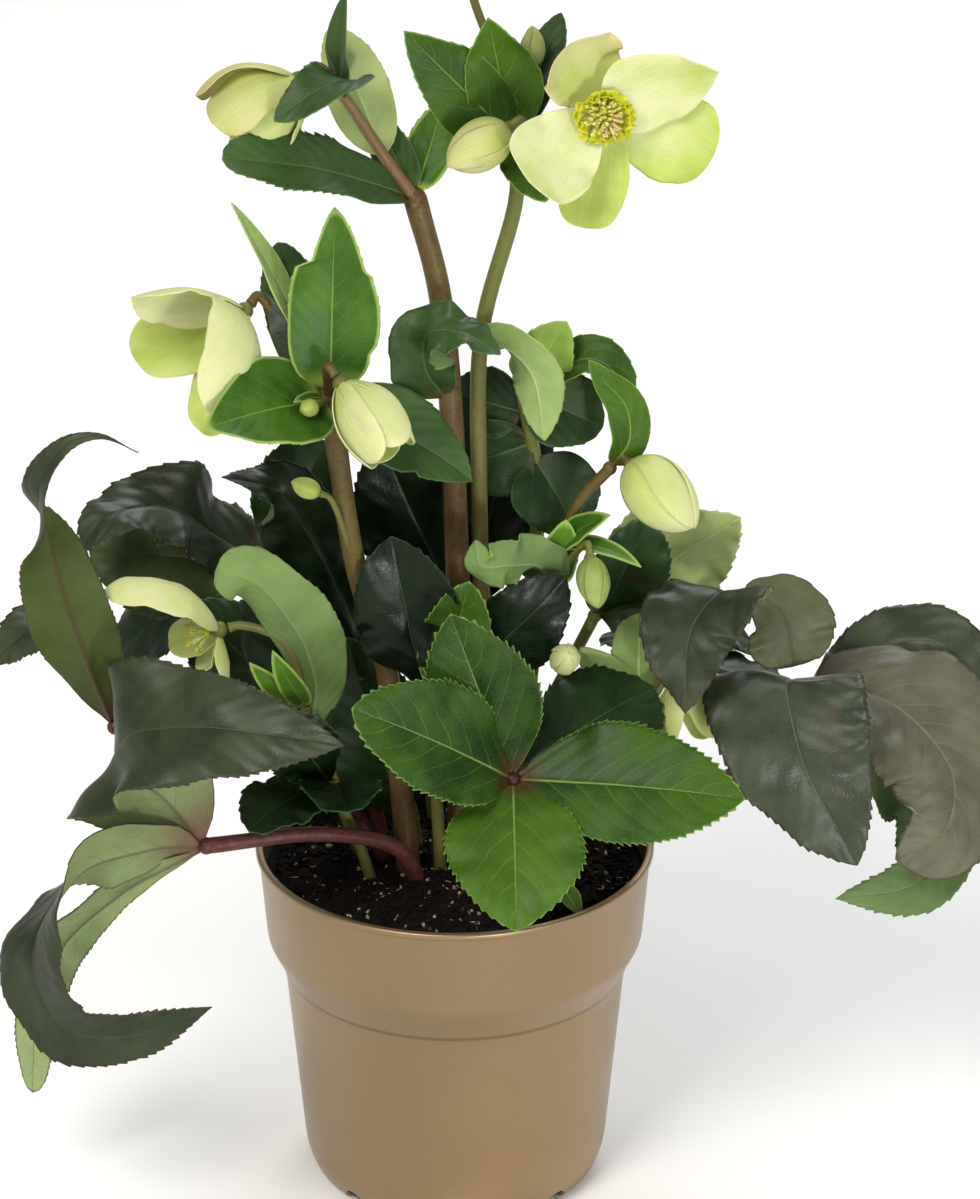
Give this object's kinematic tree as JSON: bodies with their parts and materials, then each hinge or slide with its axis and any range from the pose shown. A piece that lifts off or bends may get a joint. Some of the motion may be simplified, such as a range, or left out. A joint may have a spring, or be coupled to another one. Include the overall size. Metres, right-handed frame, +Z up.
{
  "type": "potted hellebore plant",
  "caption": "Potted hellebore in flower: tapered plastic pot of peat, hand-shaped basal leaves, leafy flower stems, nodding cream blooms and buds.",
  "frame": {"origin": "middle of the pot's flat underside", "axes": "+Z up along the pot's axis, +X to the plant's right seen from its best side, -Y towards that side"},
  "size_m": [0.333, 0.1979, 0.4252],
  "materials": {
    "pot": "satin bronze-tan thin injection-moulded plastic",
    "soil": "moist dark peat with a few pale crumbs, matt",
    "fresh_leaf": "living leaf, satin, paler veins and midrib",
    "old_leaf": "old leathery leaf, semi-gloss, dark grey-green with a purple-brown tint, sage underside",
    "flower_stem": "fleshy stem and bracts, satin, green flushed brown-red, pale bract margins",
    "sepal": "waxy cream-white to lime sepal, satin",
    "stamen": "matt pollen-yellow stamens and nectaries"
  },
  "bodies": {
    "root": {"pot": "pot", "soil": "soil", "leaf_front": "fresh_leaf", "leaf_low_left": "old_leaf", "leaf_far_left": "old_leaf", "leaf_back_left": "old_leaf", "leaf_centre_left": "old_leaf", "leaf_centre": "old_leaf", "leaf_centre_back": "old_leaf", "leaf_right": "old_leaf", "leaf_upper_right": "old_leaf", "leaf_pale_right": "fresh_leaf", "leaf_back": "old_leaf", "leaf_back_right": "old_leaf", "leaf_dark_left": "old_leaf", "stem_left": "flower_stem", "stem_tall": "flower_stem", "stem_right": "flower_stem", "stem_right_low": "flower_stem", "stem_behind": "flower_stem", "stem_low_left": "flower_stem", "stem_low_right": "flower_stem", "shoot_front": "flower_stem", "bloom_open": "sepal", "bloom_left": "sepal", "bloom_nodding": "sepal", "bloom_half_open": "sepal", "bloom_low_left": "sepal", "bloom_low_right": "sepal", "bud_egg": "sepal", "bud_right": "sepal", "bud_top": "sepal", "bud_brown": "sepal", "bud_small": "sepal", "bud_tiny": "sepal", "bud_hanging": "sepal", "bud_pale": "sepal", "heart_of_bloom_open": "stamen", "heart_of_bloom_left": "stamen", "heart_of_bloom_nodding": "stamen", "heart_of_bloom_low_left": "stamen", "heart_of_bloom_low_right": "stamen"}
  },
  "joints": []
}
